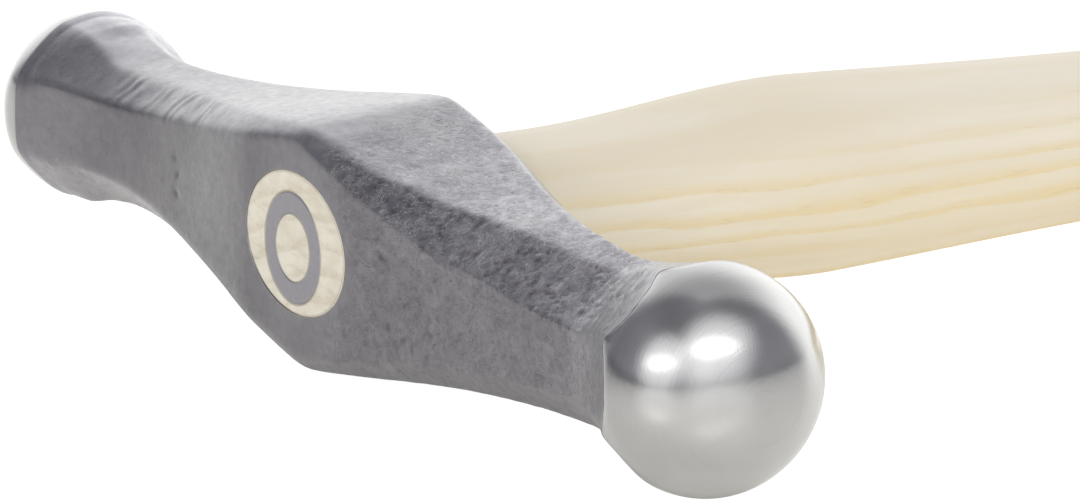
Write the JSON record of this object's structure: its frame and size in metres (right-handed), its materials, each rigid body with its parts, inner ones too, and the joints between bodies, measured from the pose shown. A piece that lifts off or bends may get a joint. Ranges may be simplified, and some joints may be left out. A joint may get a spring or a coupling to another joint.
{
  "type": "raising hammer",
  "caption": "Double-ended hammer for raising and sinking sheet metal: forged steel head with a ball face at each end, oval ash handle locked in the eye by a round steel ring wedge.",
  "frame": {"origin": "centre of the eye on the front flat of the head, where the end of the ring wedge shows", "axes": "+X along the head towards the larger ball face, +Y along the handle from the head to the butt, +Z out of the upper cheek as the hammer lies on its side"},
  "size_m": [0.1721, 0.3167, 0.0318],
  "materials": {
    "forged_steel": "forging skin under clear lacquer, ball faces ground and polished",
    "ash": "sanded and waxed ash, grain along the handle",
    "wedge_steel": "plain turned steel, faced off with the end grain"
  },
  "bodies": {
    "root": {"head": "forged_steel", "handle": "ash", "ring_wedge": "wedge_steel"}
  },
  "joints": []
}
